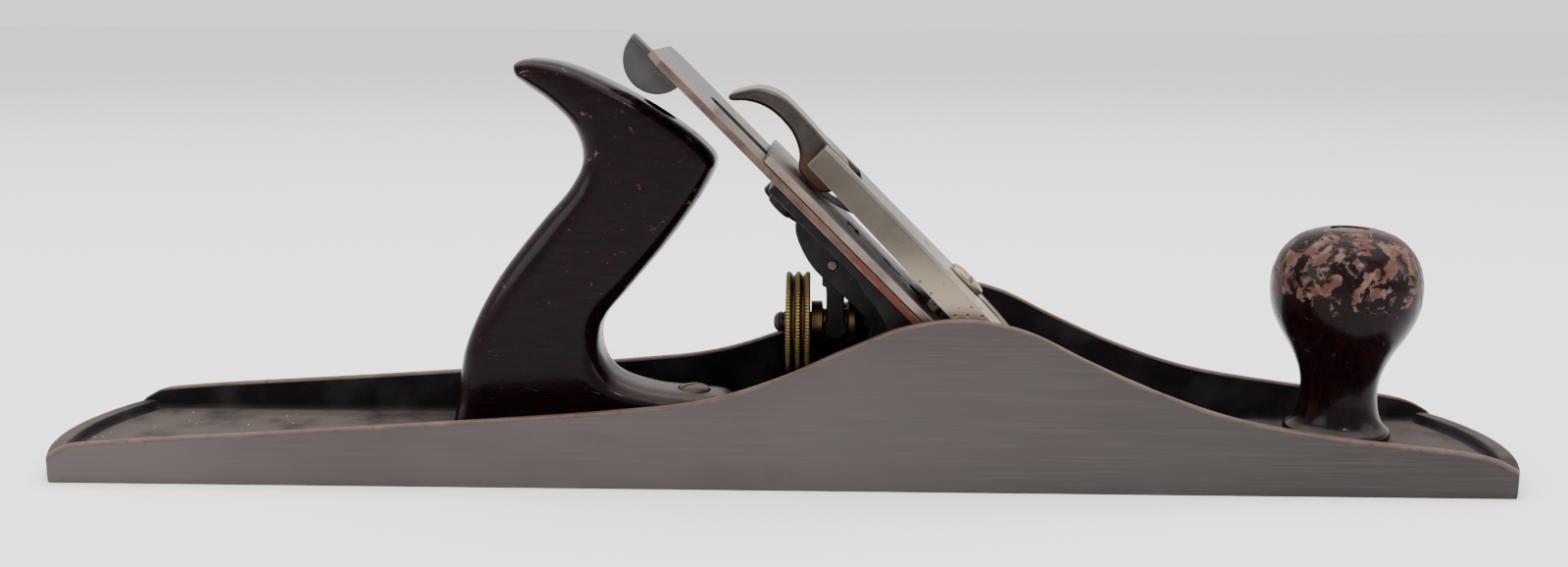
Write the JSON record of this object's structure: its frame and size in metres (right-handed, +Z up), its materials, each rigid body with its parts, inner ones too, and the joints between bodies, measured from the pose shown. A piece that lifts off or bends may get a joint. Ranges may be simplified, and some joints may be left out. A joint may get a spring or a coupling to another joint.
{
  "type": "bench hand plane",
  "caption": "Long metal bench plane with a wooden tote and knob, an adjustable frog, depth wheel, lateral lever and lever cap with a cam lever.",
  "frame": {"origin": "on the sole's face, at the middle of its length and width", "axes": "+X towards the toe (knob), +Y towards the far cheek, +Z up, away from the sole"},
  "size_m": [0.456, 0.073, 0.1336],
  "materials": {
    "ground_cast_iron": "ground grey iron sides and sole with a light brown patina, black japanning inside",
    "japanned_iron": "black japanning, dusty and worn at the edges",
    "rosewood": "very dark red-brown varnished wood with chips and scratches",
    "tool_steel": "ground steel with a warm patina and rust stains",
    "dark_steel": "darkened steel screws, pins and levers",
    "worn_nickel": "worn nickel plate with pits and rust spots",
    "brass": "tarnished brass"
  },
  "bodies": {
    "base": {"body": "ground_cast_iron", "tote": "rosewood", "tote_rod": "dark_steel", "tote_nut": "brass", "tote_toe_screw": "dark_steel", "knob": "rosewood", "knob_rod": "dark_steel", "knob_nut": "brass", "frog_screw_near": "dark_steel", "frog_screw_far": "dark_steel", "frog_washer_near": "dark_steel", "frog_washer_far": "dark_steel"},
    "frog": {"frog": "japanned_iron", "frog_adjusting_clip": "dark_steel", "frog_clip_screw": "dark_steel", "y_lever_pin": "dark_steel", "adjuster_stud": "dark_steel", "lateral_lever_rivet": "dark_steel", "lever_cap_screw": "worn_nickel"},
    "frog_adjuster": {"frog_adjusting_screw": "dark_steel"},
    "y_lever": {"y_lever": "japanned_iron"},
    "wheel_hub": {"depth_wheel_hub": "brass"},
    "wheel_rim": {"depth_wheel_rim": "brass"},
    "lateral_lever": {"lateral_lever": "dark_steel", "lateral_roller": "tool_steel", "lateral_roller_rivet": "dark_steel"},
    "lever_cap": {"lever_cap": "worn_nickel", "cam_lever_pin": "dark_steel", "lever_cap_spring": "dark_steel", "spring_rivet": "dark_steel"},
    "cutter": {"iron": "tool_steel", "chip_breaker": "tool_steel", "cap_iron_screw": "dark_steel"},
    "cam_lever": {"cam_lever": "worn_nickel"}
  },
  "joints": [
    {"name": "frog_slide", "type": "slide", "parent": "base", "child": "frog", "axis": [1, 0, 0], "range_m": [-0.00126, 0.00095]},
    {"name": "frog_screw_turn", "type": "hinge", "parent": "frog", "child": "frog_adjuster", "pos_m": [0.026, 0, 0.0082], "axis": [1, 0, 0], "range_deg": [-360, 270]},
    {"name": "wheel_travel", "type": "slide", "parent": "frog", "child": "wheel_hub", "axis": [-1, 0, 0], "range_m": [-0.003, 0.003]},
    {"name": "wheel_spin", "type": "hinge", "parent": "wheel_hub", "child": "wheel_rim", "pos_m": [0.006, 0, 0.0439], "axis": [1, 0, 0], "range_deg": [-990, 990]},
    {"name": "y_lever_swing", "type": "hinge", "parent": "frog", "child": "y_lever", "pos_m": [0.0167, 0, 0.0641], "axis": [0, 1, 0], "range_deg": [-8.5, 8.5]},
    {"name": "lateral_lever_swing", "type": "hinge", "parent": "frog", "child": "lateral_lever", "pos_m": [0.00373, 0, 0.08627], "axis": [0.7071, 0, 0.7071], "range_deg": [-6, 6]},
    {"name": "lateral_tilt", "type": "hinge", "parent": "frog", "child": "lever_cap", "pos_m": [0.04545, 0, 0.04455], "axis": [0.7071, 0, 0.7071], "range_deg": [-1.5, 1.5]},
    {"name": "iron_depth", "type": "slide", "parent": "lever_cap", "child": "cutter", "axis": [0.7071, 0, -0.7071], "range_m": [-0.00148, 0.00148]},
    {"name": "cam_lever_lift", "type": "hinge", "parent": "lever_cap", "child": "cam_lever", "pos_m": [0.01632, 0, 0.09249], "axis": [0, 1, 0], "range_deg": [0, 95]}
  ],
  "couplings": [
    {"joint": "wheel_spin", "follows": "iron_depth", "rad_per_m": 11628},
    {"joint": "wheel_travel", "follows": "iron_depth", "ratio": 1.9617},
    {"joint": "y_lever_swing", "follows": "iron_depth", "rad_per_m": 97.113},
    {"joint": "lateral_tilt", "follows": "lateral_lever_swing", "ratio": -0.2287}
  ]
}
